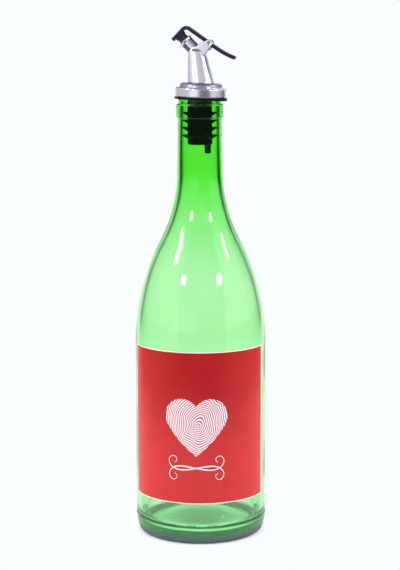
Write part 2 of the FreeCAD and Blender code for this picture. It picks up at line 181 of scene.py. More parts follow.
def rounded(corners, radii, count):
    """A polyline whose inner corners are arcs tangent to both sides.

    For a corner that turns by an angle t, the arc of radius q starts q tan(t / 2) before it.
    """
    corners = np.array(corners)
    parts = [corners[:1]]
    for before, corner, after, radius in zip(corners, corners[1:], corners[2:], radii):
        to, away = (corner - before), (after - corner)
        to, away = to / np.linalg.norm(to), away / np.linalg.norm(away)
        side = np.sign(to[0] * away[1] - to[1] * away[0])
        turn = math.acos(np.clip(to @ away, -1.0, 1.0))
        start = corner - to * radius * math.tan(0.5 * turn)
        t = np.linspace(0.0, turn, count)[:, None]
        normal = np.array([-to[1], to[0]]) * side
        parts.append(start + radius * (np.sin(t) * to + (1.0 - np.cos(t)) * normal))
    return np.concatenate(parts)


def filled(points, gap):
    """The same outline with evenly spaced points added wherever two stand further apart.

    Smooth shading blends the directions of neighbouring faces, so a long straight face
    beside a small round would look bent without a row close to its ends.
    """
    parts = [points[:1]]
    for start, end in zip(points, points[1:]):
        count = max(1, math.ceil(np.linalg.norm(end - start) / gap))
        parts.append(straight(start, end, count)[1:])
        parts.append(end[None, :])
    return np.concatenate(parts)


def shoulder(inset, count):
    """The shoulder from the side up to the neck: an outward arc, then a hollow one.

    With rise H and drop D both turn by 2 atan(D / H), and their radii add up to
    H / sin(turn). inset moves them into the glass.
    """
    drop = BODY_RADIUS - NECK_RADIUS
    turn = 2.0 * math.atan2(drop, SHOULDER_RISE)
    both = SHOULDER_RISE / math.sin(turn)
    bulge, hollow = SHOULDER_SHARE * both, (1.0 - SHOULDER_SHARE) * both
    turn = math.degrees(turn)
    low = bent((BODY_RADIUS - bulge, BODY_HEIGHT), bulge - inset, 0.0, turn, count)
    high = bent((NECK_RADIUS + hollow, NECK_START), hollow + inset, 180.0 + turn, 180.0, count)
    return np.concatenate([low, high])


# %% [markdown]
# The outside starts at the top of the punt, on the axis, and ends on the lip. The punt is
# a shallow dome, and the floor inside is a dome about the same centre, so that the base
# keeps its thickness.

# %% Outline of the glass
PUNT_ROWS, FOOT_ROWS, HEEL_ROWS, INNER_HEEL_ROWS = 22, 3, 10, 14
SIDE_ROWS, SHOULDER_ROWS, BORE_ROWS = 40, 34, 12
ROUND_ROWS, LONGEST_GAP = 8, 0.8 * MM
COLLAR_ROUND, COLLAR_EDGE = 0.5 * MM, 0.9 * MM
LIP_FOOT_ROUND, LIP_EDGE = 0.25 * MM, 0.7 * MM


def foot_places():
    """Centre and turn of the foot's arc, and the radii of the ring and of the punt's dome.

    The arcs of foot and heel touch, so their centres stand apart by the difference of
    their radii. A dome of depth d over a ring of radius q has radius (q^2 + d^2) / 2d.
    """
    fall = HEEL_START - FOOT_ARC
    reach = math.sqrt((HEEL_ARC - FOOT_ARC) ** 2 - fall ** 2)
    foot_x = BODY_RADIUS - HEEL_ARC + reach
    ring = foot_x - FOOT_WIDTH
    dome = (ring ** 2 + PUNT_DEPTH ** 2) / (2.0 * PUNT_DEPTH)
    return foot_x, -math.degrees(math.atan2(fall, reach)), ring, dome


def glass_outside():
    """From the top of the punt over the standing ring and up to the mouth."""
    foot_x, turn, ring, dome = foot_places()
    spread = math.degrees(math.asin(ring / dome))
    mouth = rounded(
        [(NECK_RADIUS, NECK_START), (NECK_TOP_RADIUS, COLLAR_FOOT), (COLLAR_RADIUS, COLLAR_FOOT),
         (COLLAR_RADIUS, COLLAR_TOP), (LIP_RADIUS, COLLAR_TOP), (LIP_RADIUS, MOUTH),
         (BORE_RADIUS, MOUTH), (BORE_RADIUS, MOUTH - LIP_HEIGHT)],
        [COLLAR_ROUND, COLLAR_ROUND, COLLAR_EDGE, LIP_FOOT_ROUND, LIP_EDGE, LIP_EDGE],
        ROUND_ROWS)
    mouth = filled(mouth, LONGEST_GAP)
    return np.concatenate([
        bent((0.0, PUNT_DEPTH - dome), dome, 90.0, 90.0 - spread, PUNT_ROWS),
        straight((ring, 0.0), (foot_x, 0.0), FOOT_ROWS),
        bent((foot_x, FOOT_ARC), FOOT_ARC, -90.0, turn, HEEL_ROWS),
        bent((BODY_RADIUS - HEEL_ARC, HEEL_START), HEEL_ARC, turn, 0.0, HEEL_ROWS),
        straight((BODY_RADIUS, HEEL_START), (BODY_RADIUS, BODY_HEIGHT), SIDE_ROWS),
        shoulder(0.0, SHOULDER_ROWS), mouth,
    ])


def glass_inside():
    """From the mouth down the bore and the inner side to the middle of the floor."""
    dome = foot_places()[-1]
    heel_x = BODY_RADIUS - WALL - INNER_HEEL
    reach = dome + BASE_THICKNESS + INNER_HEEL
    heel_z = PUNT_DEPTH - dome + math.sqrt(reach ** 2 - heel_x ** 2)
    spread = math.degrees(math.asin(heel_x / reach))
    inner_side = BODY_RADIUS - WALL
    return np.concatenate([
        straight((BORE_RADIUS, MOUTH - LIP_HEIGHT), (NECK_RADIUS - WALL, NECK_START), BORE_ROWS),
        shoulder(WALL, SHOULDER_ROWS)[::-1],
        straight((inner_side, BODY_HEIGHT), (inner_side, heel_z), SIDE_ROWS),
        bent((heel_x, heel_z), INNER_HEEL, 0.0, -90.0 - spread, INNER_HEEL_ROWS),
        bent((0.0, PUNT_DEPTH - dome), dome + BASE_THICKNESS, 90.0 - spread, 90.0, PUNT_ROWS),
        [[0.0, PUNT_DEPTH + BASE_THICKNESS]],
    ])


# %% [markdown]
# Blown glass is even outside, where the mould shapes it, and wavy inside, where air does.
# That slight waviness is what bends the light in a real bottle, so the inside gets a
# gentle ripple, and its floor a second one. Both die out towards the axis. Two values on
# the points tell the finish which side of the glass a point is on.

# %% The glass bottle
GLASS_COLUMNS = 224
WALL_RIPPLE = 0.07 * MM
FLOOR_RIPPLE = 0.048 * MM
CALM_RADIUS = 0.3 * BODY_RADIUS
FLOOR_REACH = 3.0 * PUNT_DEPTH
PUNT_MARGIN = 0.2 * MM

outside, inside = glass_outside(), glass_inside()


def ripple(radius, height, angle):
    """Waves of the inside: A is WALL_RIPPLE, B is FLOOR_RIPPLE, a the angle round it.

    The radius grows by A (sin(3a + 40z) + sin(5a - 90z + 1)) / 2, and low down the height
    grows by B (sin(2a + 0.7) + 0.6 sin(7a + 260r)).
    """
    within = (np.arange(len(radius)) >= len(outside))[:, None]
    wave = 0.5 * (np.sin(3.0 * angle + 40.0 * height) + np.sin(5.0 * angle - 90.0 * height + 1.0))
    low = np.clip(1.0 - (height - PUNT_DEPTH) / FLOOR_REACH, 0.0, 1.0) * within
    spread = np.clip(radius / CALM_RADIUS, 0.0, 1.0)
    uneven = np.sin(2.0 * angle + 0.7) + 0.6 * np.sin(7.0 * angle + 260.0 * radius)
    radius = radius + WALL_RIPPLE * wave * within * spread
    return radius, height + FLOOR_RIPPLE * uneven * low * spread


def mark_surfaces(piece):
    """Values on the points: "underside" is 1 on the punt, "inner" is 1 inside the bottle.

    The inside is what lies more than half a wall nearer the axis than the outline does.
    """
    place = np.zeros(3 * len(piece.data.vertices))
    piece.data.vertices.foreach_get("co", place)
    x, y, z = place.reshape(-1, 3).T
    out = np.hypot(x, y)
    _, _, ring, dome = foot_places()
    punt = PUNT_DEPTH - dome + np.sqrt(np.clip(dome ** 2 - out ** 2, 0.0, None))
    under = (out <= ring) & (z < punt + PUNT_MARGIN)
    rising = outside[PUNT_ROWS + FOOT_ROWS:np.argmax(outside[:, 1])]
    inner = (out < np.interp(z, rising[:, 1], rising[:, 0]) - 0.5 * WALL) & ~under
    for name, marked in (("underside", under), ("inner", inner)):
        attribute = piece.data.attributes.new(name, "FLOAT", "POINT")
        attribute.data.foreach_set("value", marked.astype(float))
    return int(under.sum()), int(inner.sum())


bottle = turned("glass_bottle", np.concatenate([outside, inside]), GLASS_COLUMNS, ripple)
print("points on the underside and inside:", mark_surfaces(bottle))
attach(bottle, "bottle")
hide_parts("bottle")
print("glass:", len(outside), "+", len(inside), "rows,", triangles(bottle), "triangles")

# %% [markdown]
# The mould leaves a ring of small raised dots on the heel, in groups, which tell moulds
# apart. Each dot is a shallow dome, (1 - s^2) high at a share s of its radius. Rings at a
# few shares of the radius are enough for something this small, and the dome's rim is sunk
# into the glass so that no gap shows.

# %% Dots on the heel
DOT_RADIUS = 0.55 * MM
DOT_HEIGHT = 0.27 * MM
DOT_ROWS = (10.7 * MM, 12.0 * MM)
DOT_PITCH = 1.9 * MM
DOT_GROUPS = 20
DOTS_IN_GROUP = 3
DOT_SINK = 0.02 * MM
DOME_SHARES = np.array([1.0, 0.8, 0.45, 0.0])
DOME_COLUMNS = 8


def dome_points(angle, height):
    """A dome on the side of the bottle, at an angle round it: rings of shares 1 to 0."""
    share = DOME_SHARES[:, None]
    round_it = TURN * np.arange(DOME_COLUMNS)[None, :] / DOME_COLUMNS
    across = share * DOT_RADIUS * np.cos(round_it)
    up = share * DOT_RADIUS * np.sin(round_it)
    reach = BODY_RADIUS + DOT_HEIGHT * (1.0 - share ** 2) * np.ones_like(across) - DOT_SINK
    turn = angle + across / BODY_RADIUS
    points = np.stack([reach * np.cos(turn), reach * np.sin(turn), height + up], axis=-1)
    return points.reshape(-1, 3)


def dot_places():
    """Angle and height of each dot: groups round the heel, dots side by side, two rows."""
    group, dot, row = np.meshgrid(
        np.arange(DOT_GROUPS), np.arange(DOTS_IN_GROUP), np.arange(len(DOT_ROWS)), indexing="ij")
    shift = dot + 0.5 * row - 0.5 * (DOTS_IN_GROUP - 0.5)
    angle = TURN * (group + 0.5) / DOT_GROUPS + shift * DOT_PITCH / BODY_RADIUS
    return angle.ravel(), np.array(DOT_ROWS)[row].ravel()


dots = [dome_points(angle, height) for angle, height in zip(*dot_places())]
dome_faces = grid_faces(len(DOME_SHARES), DOME_COLUMNS, True)
dot_faces = np.concatenate([dome_faces + number * len(dots[0]) for number in range(len(dots))])
heel_dots = new_piece("heel_dots", np.concatenate(dots), dot_faces)
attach(heel_dots, "bottle")
print("dots on the heel:", len(dots), "with", triangles(heel_dots), "triangles")

# %% [markdown]
# The label is a strip of coated paper glued round the side, and reaches a little further
# to the left of the front than to the right. It is a curved grid with a UV map that runs
# from its left edge to its right and from its foot to its top, so that the print follows
# the paper. Solidify gives the paper its thickness and its plain white back.

# %% The paper label
PAPER = 0.12 * MM
PAPER_WAVE = 0.015 * MM
LABEL_FOOT = 25.6 * MM
LABEL_TOP = BODY_HEIGHT + 1.1 * MM
LABEL_LEFT, LABEL_RIGHT = math.radians(75.0), math.radians(67.0)
LABEL_WIDTH = (LABEL_LEFT + LABEL_RIGHT) * BODY_RADIUS
LABEL_HEIGHT = LABEL_TOP - LABEL_FOOT
LABEL_COLUMNS, LABEL_ROWS = 160, 90


def on_side(across, height, lift):
    """A point of the side: across is measured round it from the front, to the right."""
    angle = -0.25 * TURN + across / BODY_RADIUS
    reach = BODY_RADIUS + lift
    return np.stack([reach * np.cos(angle), reach * np.sin(angle), height], axis=-1)


def make_label():
    """Grid over (u, v), wrapped on the side, with waves of W sin(9u + 5v) sin(7v + 1)."""
    u, v = np.meshgrid(np.linspace(0.0, 1.0, LABEL_COLUMNS), np.linspace(0.0, 1.0, LABEL_ROWS))
    across = u * LABEL_WIDTH - LABEL_LEFT * BODY_RADIUS
    wave = PAPER_WAVE * np.sin(9.0 * u + 5.0 * v) * np.sin(7.0 * v + 1.0)
    points = on_side(across, LABEL_FOOT + v * LABEL_HEIGHT, PAPER + wave).reshape(-1, 3)
    piece = new_piece("paper_label", points, grid_faces(LABEL_ROWS, LABEL_COLUMNS, False))
    corners = np.zeros(len(piece.data.loops), np.int32)
    piece.data.loops.foreach_get("vertex_index", corners)
    uv = np.stack([u, v], axis=-1).reshape(-1, 2)[corners]
    piece.data.uv_layers.new(name="print").data.foreach_set("uv", uv.ravel())
    thickness = piece.modifiers.new("paper", "SOLIDIFY")
    thickness.thickness = PAPER
    thickness.offset = -1.0
    thickness.material_offset = 1
    thickness.material_offset_rim = 1
    return piece


label = make_label()
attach(label, "bottle")
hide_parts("label")
print("label:", round(LABEL_WIDTH / MM, 1), "by", round(LABEL_HEIGHT / MM, 1), "mm")

# %% [markdown]
# Under the heart stands a pen flourish of two crossing scrolls, with strokes that swell
# and thin as a nib does. A curve with a bevel could draw them, but the stroke's width should
# change along it, so each scroll is a ribbon on the label. Its middle line bends more the
# further it is from its middle, as a road builder's spiral does: the direction is given as
# a formula, and adding up small steps in that direction gives the points.

# %% The pen flourish
FLOURISH_HEIGHT = 47.8 * MM
SCROLL_REACH = 30.0 * MM
SCROLL_LEAN = math.radians(10.0)
SCROLL_TURN = math.radians(-360.0)
SCROLL_STEPS = 260
PEN_THIN, PEN_THICK = 0.32 * MM, 0.85 * MM
INK_LIFT, CROSSING_LIFT = 0.028 * MM, 0.0112 * MM
LABEL_MIDDLE = 0.5 * (LABEL_RIGHT - LABEL_LEFT) * BODY_RADIUS


def scroll(mirror, lift):
    """One S-shaped scroll, for t from -1 to 1, mirrored from side to side if mirror is -1.

    Its direction is lean + turn |t|^3 and its half width thin + (thick - thin)(1 - t^2)^2.
    """
    t = np.linspace(-1.0, 1.0, SCROLL_STEPS)
    direction = SCROLL_LEAN + SCROLL_TURN * np.abs(t) ** 3
    step = SCROLL_REACH * (t[1] - t[0])
    x, y = np.cumsum(np.cos(direction)) * step, np.cumsum(np.sin(direction)) * step
    x, y = x - x.mean(), y - y.mean()
    half = 0.5 * (PEN_THIN + (PEN_THICK - PEN_THIN) * (1.0 - t ** 2) ** 2)
    side = np.stack([-np.sin(direction), np.cos(direction)]) * half
    rows = np.stack([np.stack([x, y]) + side * share for share in (1.0, 0.0, -1.0)])
    across = LABEL_MIDDLE + mirror * rows[:, 0]
    points = on_side(across, FLOURISH_HEIGHT + rows[:, 1], PAPER + lift)
    faces = grid_faces(len(rows), SCROLL_STEPS, False)
    return points.reshape(-1, 3), faces[:, ::-1] if mirror > 0 else faces


def make_flourish():
    """Both scrolls in one mesh, the second a hair above the first where they cross."""
    first, first_faces = scroll(1.0, INK_LIFT)
    second, second_faces = scroll(-1.0, INK_LIFT + CROSSING_LIFT)
    faces = np.concatenate([first_faces, second_faces + len(first)])
    return new_piece("label_flourish", np.concatenate([first, second]), faces)


flourish = make_flourish()
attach(flourish, "bottle")
print("flourish:", triangles(flourish), "triangles")

# %% [markdown]
# The pourer sits in the mouth with a slight lean. Its cap is turned on a lathe, so here it
# is a surface of revolution too, drawn about the pourer's own axis and then seated on the
# bottle. Its side tapers by three degrees, as a pressed cap's does.

# %% The metal cap
SEAT_TILT, SEAT_TURN = math.radians(2.0), math.radians(10.0)
SEAT_SHIFT = 0.6 * MM
GASKET_LEAST = 0.55 * MM
SEAT_HEIGHT = MOUTH + GASKET_LEAST + LIP_RADIUS * math.tan(SEAT_TILT)
CAP_RADIUS, CAP_HEIGHT = 15.75 * MM, 5.6 * MM
CAP_TAPER = 0.30 * MM
STEP_FOOT_RADIUS, STEP_TOP_RADIUS, STEP_HEIGHT = 13.1 * MM, 12.5 * MM, 2.9 * MM
SPIGOT_RADIUS = 6.6 * MM
CAP_FOOT_ROUND, CAP_EDGE_ROUND, STEP_FOOT_ROUND = 0.5 * MM, 0.8 * MM, 0.3 * MM
STEP_EDGE_ROUND, SPIGOT_ROUND = 1.9 * MM, 0.05 * MM
CAP_ROUND_ROWS, CAP_GAP, CAP_COLUMNS = 9, 0.35 * MM, 160


def seated(points):
    """Points of the pourer on the bottle: turned about Z, leant about Y and lifted."""
    turn = Matrix.Rotation(SEAT_TILT, 3, "Y") @ Matrix.Rotation(-SEAT_TURN, 3, "Z")
    return points @ np.array(turn).T + np.array([SEAT_SHIFT, 0.0, SEAT_HEIGHT])


def make_cap():
    """The cap's closed outline, from the foot of the spigot out, up, in and down again."""
    step_top = CAP_HEIGHT + STEP_HEIGHT
    profile = rounded(
        [(SPIGOT_RADIUS, 0.0), (CAP_RADIUS, 0.0), (CAP_RADIUS - CAP_TAPER, CAP_HEIGHT),
         (STEP_FOOT_RADIUS, CAP_HEIGHT), (STEP_TOP_RADIUS, step_top), (SPIGOT_RADIUS, step_top),
         (SPIGOT_RADIUS, 0.0)],
        [CAP_FOOT_ROUND, CAP_EDGE_ROUND, STEP_FOOT_ROUND, STEP_EDGE_ROUND, SPIGOT_ROUND],
        CAP_ROUND_ROWS)
    profile = filled(np.concatenate([profile, profile[:1]]), CAP_GAP)
    return turned("turned_cap", profile, CAP_COLUMNS, place=seated)


cap = make_cap()
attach(cap, "bottle")
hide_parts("cap")
print("cap:", triangles(cap), "triangles")

# %% [markdown]
# The spout is one zinc casting. Where its column, arm and ears meet, the metal flows
# together in small rounds that a drawing of plain solids doesn't have. A copy of the
# measured part is rebuilt here in even cells a quarter of a millimetre wide and then
# smoothed, which melts the creases and hardly changes the size.

# %% The cast spout
CAST_CELL = 0.25 * MM
CAST_SMOOTHING = 10
SMOOTH_SHARE = 0.5


def cast_copy(node, name, cell, smoothing):
    """A merged copy of a part's mesh, remeshed in even cells and smoothed."""
    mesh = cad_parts[node].data.copy()
    work = bmesh.new()
    work.from_mesh(mesh)
    bmesh.ops.remove_doubles(work, verts=work.verts, dist=MERGE)
    work.to_mesh(mesh)
    work.free()
    rough = linked(name + "_rough", mesh)
    remesh = rough.modifiers.new("cells", "REMESH")
    remesh.mode = "VOXEL"
    remesh.voxel_size = cell
    smooth = rough.modifiers.new("melt", "SMOOTH")
    smooth.factor = SMOOTH_SHARE
    smooth.iterations = smoothing
    shown = rough.evaluated_get(bpy.context.evaluated_depsgraph_get())
    cast = bpy.data.meshes.new_from_object(shown)
    cast.name = name
    bpy.data.objects.remove(rough)
    cast.materials.clear()
    cast.shade_smooth()
    return linked(name, cast)


spout = cast_copy("spout", "cast_spout", CAST_CELL, CAST_SMOOTHING)
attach(spout, "bottle")
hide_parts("spout")
print("spout:", triangles(spout), "triangles")

# %% [markdown]
# Now the finishes. Shader nodes do their sums with Math nodes, which are tedious to wire by
# hand, so a small class wraps a node's output and turns Python's own operators into Math
# nodes. One method adds any other node. A finish is a function of the graph, and gives its
# material the function's own name. Noise in Object coordinates has a scale in grains per
# metre: at 1000, a grain is about a millimetre wide.

# %% Writing shaders as sums
class Value:
    """One output of a node tree; - + * / ** and abs() on it add Math nodes."""

    def __init__(self, graph, output):
        self.graph, self.output = graph, output

    def __add__(self, other):
        return self.graph.math("ADD", self, other)

    def __sub__(self, other):
        return self.graph.math("SUBTRACT", self, other)

    def __rsub__(self, other):
        return self.graph.math("SUBTRACT", other, self)

    def __neg__(self):
        return self.graph.math("SUBTRACT", 0.0, self)

    def __mul__(self, other):
        return self.graph.math("MULTIPLY", self, other)

    def __truediv__(self, other):
        return self.graph.math("DIVIDE", self, other)

    def __pow__(self, other):
        return self.graph.math("POWER", self, other)

    def __abs__(self):
        return self.graph.math("ABSOLUTE", self)

    __radd__, __rmul__ = __add__, __mul__


class Graph:
    """An emptied node tree, with one method for nodes and short names for common ones."""

    def __init__(self, tree):
        self.tree = tree
        tree.nodes.clear()

    def node(self, kind, settings=None, inputs=None, output=0):
        """Add a node: settings are its properties or a ramp's stops, inputs its sockets."""
        made = self.tree.nodes.new(kind)
        for name, value in (settings or {}).items():
            if name == "stops":
                self.set_stops(made.color_ramp, value)
            else:
                setattr(made, name, value)
        for name, value in (inputs or {}).items():
            if isinstance(value, Value):
                self.tree.links.new(value.output, made.inputs[name])
            else:
                made.inputs[name].default_value = value
        return Value(self, made.outputs[output])

    def math(self, operation, *values):
        """One Math node; values are numbers or outputs of other nodes."""
        return self.node("ShaderNodeMath", {"operation": operation}, dict(enumerate(values)))

    def larger(self, first, second):
        """The larger of two values."""
        return self.math("MAXIMUM", first, second)

    def smaller(self, first, second):
        """The smaller of two values."""
        return self.math("MINIMUM", first, second)

    def set_stops(self, ramp, stops):
        """Fill a colour ramp with pairs of a position from 0 to 1 and a colour."""
        while len(ramp.elements) < len(stops):
            ramp.elements.new(1.0)
        for element, (position, color) in zip(ramp.elements, stops):
            element.position = position
            element.color = (*color, 1.0)

    def place(self, kind="Object"):
        """The point's coordinates: its own Object ones, or a world ray's direction."""
        return self.node("ShaderNodeTexCoord", output=kind)

    def split(self, vector):
        """The vector's x, y and z."""
        return [self.node("ShaderNodeSeparateXYZ", None, {0: vector}, n) for n in range(3)]

    def join(self, *values):
        """A vector of three values."""
        return self.node("ShaderNodeCombineXYZ", None, dict(enumerate(values)))

    def between(self, value, low, high):
        """0 below low, 1 above high, and a smooth step between them."""
        inputs = {"Value": value, "From Min": low, "From Max": high}
        return self.node("ShaderNodeMapRange", {"interpolation_type": "SMOOTHSTEP"}, inputs)

    def noise(self, vector, scale, detail=2.0, roughness=0.5):
        """Soft patches of values around 0.5, with detail octaves of finer ones."""
        inputs = {"Vector": vector, "Scale": scale, "Detail": detail, "Roughness": roughness}
        return self.node("ShaderNodeTexNoise", None, inputs)

    def mix(self, factor, first, second):
        """Colour that goes from first to second as factor goes from 0 to 1."""
        colors = [c if isinstance(c, Value) else (*c, 1.0) for c in (first, second)]
        settings = {"data_type": "RGBA"}
        return self.node("ShaderNodeMix", settings, {0: factor, 6: colors[0], 7: colors[1]}, 2)

    def bump(self, height, distance, strength=1.0):
        """The normal of a skin that rises by distance metres where height is 1."""
        inputs = {"Height": height, "Distance": distance, "Strength": strength}
        return self.node("ShaderNodeBump", None, inputs)

    def out(self, kind, **shaders):
        """The tree's output node, with its shaders linked by name."""
        end = self.tree.nodes.new(kind)
        for socket, value in shaders.items():
            self.tree.links.new(value.output, end.inputs[socket])


def finish(make):
    """A new material: make(graph) returns its surface and, for glass, its volume."""
    material = bpy.data.materials.new(make.__name__)
    material.use_nodes = True
    graph = Graph(material.node_tree)
    made = make(graph)
    parts = made if isinstance(made, tuple) else (made,)
    graph.out("ShaderNodeOutputMaterial", **dict(zip(("Surface", "Volume"), parts)))
    print("finish", material.name, "has", len(graph.tree.nodes), "nodes")
    return material


def principled(graph, **inputs):
    """The Principled shader; Base_Color=... stands for its socket Base Color."""
    named = {name.replace("_", " "): value for name, value in inputs.items()}
    return graph.node("ShaderNodeBsdfPrincipled", None, named)


# %% [markdown]
# Green bottle glass lets green through and takes red and blue away, the more the thicker it
# is. A volume that absorbs light gives just that: the base, where light goes a long way
# through glass, turns dark by itself. The neck looks much greener than the side, so the
# surface also has a tint that deepens towards the neck. Only the outside has it, so that
# light through the middle of the neck and light through its wall are tinted alike. The
# underside is rough. Low down, the outside is mixed with a dull grey: partly scuff marks on
# the ring the bottle stands on, partly painted shade for the rim's dark reflections and
# shadow.

# %% Green glass
GLASS_IOR = 1.5
ABSORBED = (0.10, 0.98, 0.16)
ABSORPTION = 25.0
UNDERSIDE_ROUGHNESS = 0.45
BODY_TINT = (0.53, 1.0, 0.50)
NECK_TINT = (0.104, 0.84, 0.044)
NO_TINT = (1.0, 1.0, 1.0)
TINT_FOOT, TINT_TOP = 148.0 * MM, 224.0 * MM
# Painted shade: the grey at the rim is partly scuff marks and partly the rim's dark reflections and
# shadow.
SCUFF_SHADE_FOOT, SCUFF_SHADE_TOP = 2.5 * MM, 7.0 * MM
SCUFF_SHADE_SHARE = 0.80
SCUFF_SHADE_COLORS = (0.08, 0.085, 0.12), (0.13, 0.13, 0.17)
# Painted shade: the dots' glass is tinted dark for the dark marks that their small curved edges
# make.
DOT_SHADE_COLORS = (0.05, 0.22, 0.08), (0.10, 0.34, 0.14)
SKIN_RIPPLE = 0.12 * MM


def green_glass(graph):
    """Glass tinted by height, greyed low down by scuff marks and painted shade; it absorbs within.
    """
    place = graph.place()
    height = graph.split(place)[2]
    tint = graph.mix(graph.between(height, TINT_FOOT, TINT_TOP), BODY_TINT, NECK_TINT)
    under, inner = [
        graph.node("ShaderNodeAttribute", {"attribute_name": name}, output=2)
        for name in ("underside", "inner")]
    skin = graph.noise(place, 45.0, 1.0)
    clear = principled(
        graph, Base_Color=graph.mix(inner, tint, NO_TINT), IOR=GLASS_IOR,
        Roughness=under * UNDERSIDE_ROUGHNESS, Transmission_Weight=1.0,
        Normal=graph.bump(skin, SKIN_RIPPLE, 0.6))
    # A grey of scuff marks and painted shade, low down on the outside: the dark rim of the base.
    worn_and_shaded = graph.mix(graph.noise(place, 700.0, 3.0), *SCUFF_SHADE_COLORS)
    scuffs_and_shade = graph.node("ShaderNodeBsdfDiffuse", None, {"Color": worn_and_shaded})
    low = 1.0 - graph.between(height, SCUFF_SHADE_FOOT, SCUFF_SHADE_TOP)
    share = low * (1.0 - under) * (1.0 - inner) * SCUFF_SHADE_SHARE
    surface = graph.node("ShaderNodeMixShader", None, {0: share, 1: clear, 2: scuffs_and_shade})
    inputs = {"Color": (*ABSORBED, 1.0), "Density": ABSORPTION}
    return surface, graph.node("ShaderNodeVolumeAbsorption", None, inputs)


def dot_glass(graph):
    """Dot glass tinted dark as painted shade, without the volume that the bottle has already."""
    tint = graph.mix(graph.noise(graph.place(), 900.0), *DOT_SHADE_COLORS)
    return principled(graph, Base_Color=tint, Roughness=0.0, IOR=GLASS_IOR, Transmission_Weight=1.0)


bottle.data.materials.append(finish(green_glass))
heel_dots.data.materials.append(finish(dot_glass))

# %% [markdown]
# The print is worked out from the label's own map, in millimetres of paper: a red ground
# with patches of deeper red, darker towards the top and the middle and lighter at the sides
# as painted light and shade of the glossy paper, a narrow bare edge, and a white heart
# filled with a swirl of pen lines. The heart is two round lobes over a body whose half
# width at a depth d is W (1 - d^p). The swirl's lines are where distance / pitch + angle /
# turn, bent a little by noise, is half a step from a whole number.

# %% Printed paper
RED_INK = (0.60, 0.027, 0.029)
DEEP_RED = (0.36, 0.005, 0.006)
PRESS_SHARE = 0.35
# Painted light and shade: the red deepens between these heights, in mm, and less so towards the
# sides.
PAINTED_SHADE_FROM, PAINTED_SHADE_TO = 20.0, 75.0
SIDE_PAINTED_LIGHT = 0.8
WHITE_INK = (0.86, 0.80, 0.84)
PAPER_WHITE, PAPER_SHADE = (0.90, 0.84, 0.72), (0.80, 0.76, 0.68)
THIN_INK = (0.80, 0.66, 0.70)
WEAR_FROM, WEAR_TO = 0.2, 0.36
PAPER_GRAIN = 0.01 * MM
WIDE, TALL = LABEL_WIDTH / MM, LABEL_HEIGHT / MM
EDGE, EDGE_BLUR = 0.55, 0.1
HEART_MIDDLE = 79.6 - LABEL_FOOT / MM
HEART_HALF, HEART_DEPTH = 19.2, 24.6
HEART_BLUR, LOBES_BLUR = 0.12, 0.05
LOBE = 10.5
BODY_POWER = 1.57
FAR_OUT = 20.0
SWIRL_PITCH, SWIRL_HEIGHT = 1.16, 0.86
SWIRL_PLACE = (1.8, -4.4)
SWIRL_BLUR = 0.07
WANDER = 4.0
INK_SHARE = 0.60


def heart(graph, x, y):
    """1 inside the heart, 0 outside. x and y are mm from the middle of the lobes.

    lobe and body say how far inside each a point is. The body counts only below the
    middle of the lobes.
    """
    side = abs(x)
    lobe = LOBE - ((side - (HEART_HALF - LOBE)) ** 2.0 + y * y) ** 0.5
    depth = graph.larger(-y, 0.0) / HEART_DEPTH
    body = (1.0 - depth ** BODY_POWER) * HEART_HALF - side
    below = graph.between(-y, -LOBES_BLUR, LOBES_BLUR)
    inside = graph.larger(lobe, graph.smaller(body, (below * 2.0 - 1.0) * FAR_OUT))
    return graph.between(inside, -HEART_BLUR, HEART_BLUR)


def swirl(graph, x, y):
    """1 on the pen lines, 0 between them."""
    spot = graph.join(x, y, 0.0)
    dx = x - SWIRL_PLACE[0] + (graph.noise(spot, 0.09, 1.0) - 0.5) * WANDER
    dy = (y - SWIRL_PLACE[1]) * SWIRL_HEIGHT + (graph.noise(spot, 0.10, 1.0) - 0.5) * WANDER
    away = (dx * dx + dy * dy) ** 0.5
    share = graph.math("FRACT", away / SWIRL_PITCH + graph.math("ARCTAN2", dy, dx) / TURN)
    return graph.between(INK_SHARE * 0.5 - abs(share - 0.5), -SWIRL_BLUR, SWIRL_BLUR)


def printed_paper(graph):
    """The printed side: u and v of the map, times the label's size, give places in mm."""
    u, v, _ = graph.split(graph.node("ShaderNodeUVMap", {"uv_map": "print"}))
    along, up = u * WIDE, v * TALL
    x, y = along - 0.5 * WIDE, up - HEART_MIDDLE
    spot = graph.join(along, up, 0.0)
    press = graph.noise(spot, 0.06, 3.0)
    # Painted light and shade: deeper red towards the top and the middle, lighter at the sides; the
    # press noise is the print's own uneven tone.
    off_middle = (x * x) * (SIDE_PAINTED_LIGHT / (0.5 * WIDE) ** 2)
    painted_shade = graph.between(up, PAINTED_SHADE_FROM, PAINTED_SHADE_TO) * (1.0 - off_middle)
    ground = graph.mix(PRESS_SHARE * press + (1.0 - PRESS_SHARE) * painted_shade, RED_INK, DEEP_RED)
    wear = graph.between(graph.noise(spot, 1.6, 2.0), WEAR_FROM, WEAR_TO)
    ink = heart(graph, x, y) * swirl(graph, x, y) * wear
    printed = graph.mix(ink, ground, WHITE_INK)
    rim = graph.smaller(graph.smaller(along, WIDE - along), graph.smaller(up, TALL - up))
    inked = graph.between(rim, EDGE - EDGE_BLUR, EDGE + EDGE_BLUR)
    grain = graph.noise(spot, 5.0, 4.0, 0.7)
    return principled(
        graph, Base_Color=graph.mix(inked, PAPER_WHITE, printed), Specular_IOR_Level=0.28,
        Roughness=0.20 + grain * 0.10, Normal=graph.bump(grain, PAPER_GRAIN, 0.5))


def bare_paper(graph):
    """The back and the cut edge of the paper: off-white with soft fibres."""
    fibres = graph.noise(graph.place(), 2500.0, 4.0, 0.7)
    return principled(
        graph, Base_Color=graph.mix(fibres, PAPER_SHADE, PAPER_WHITE), Roughness=0.8,
        Normal=graph.bump(fibres, PAPER_GRAIN, 0.6))


def pen_ink(graph):
    """White ink of the flourish, a little thin in places."""
    patches = graph.noise(graph.place(), 700.0, 2.0)
    return principled(graph, Base_Color=graph.mix(patches, WHITE_INK, THIN_INK), Roughness=0.4)


label.data.materials.append(finish(printed_paper))
label.data.materials.append(finish(bare_paper))
flourish.data.materials.append(finish(pen_ink))
